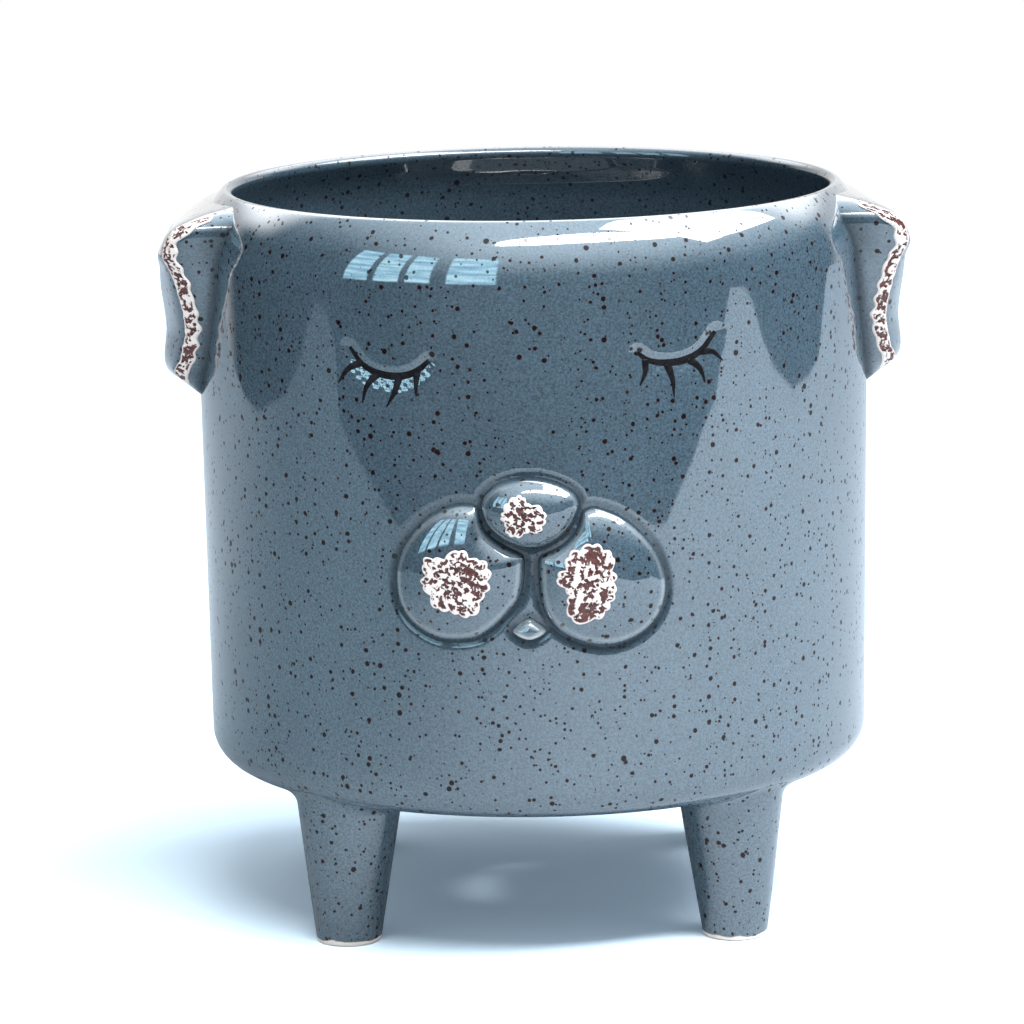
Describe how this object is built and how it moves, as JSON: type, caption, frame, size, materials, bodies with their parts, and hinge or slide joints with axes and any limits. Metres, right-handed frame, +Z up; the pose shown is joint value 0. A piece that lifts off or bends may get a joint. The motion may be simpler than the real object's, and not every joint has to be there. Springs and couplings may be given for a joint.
{
  "type": "ceramic planter",
  "caption": "Round glazed ceramic planter shaped like a sleeping dog, with hanging ears, a muzzle, short legs and a drain hole.",
  "frame": {"origin": "the middle of the drain hole, on the pot's axis, 33.75 mm above the surface that the feet stand on", "axes": "+Z up along the pot's axis, +X to the viewer's right across the ears, -Y towards the viewer, where the face is"},
  "size_m": [0.1557, 0.1452, 0.1514],
  "materials": {
    "glaze": "glossy blue-grey glaze with dark iron specks over stoneware",
    "crawled_glaze": "white glaze drawn back into raised beads over a red-brown ground",
    "black_line": "black glaze wiped into the cut lines"
  },
  "bodies": {
    "root": {"pot_body": "glaze", "leg_front_left": "glaze", "leg_front_right": "glaze", "leg_rear_left": "glaze", "leg_rear_right": "glaze", "ear_left": "glaze", "ear_right": "glaze", "cheek_left": "glaze", "cheek_right": "glaze", "nose": "glaze", "chin": "glaze", "eye_line_left": "black_line", "eye_line_right": "black_line", "ear_texture_left": "crawled_glaze", "ear_texture_right": "crawled_glaze", "cheek_texture_left": "crawled_glaze", "cheek_texture_right": "crawled_glaze", "nose_texture": "crawled_glaze"}
  },
  "joints": []
}
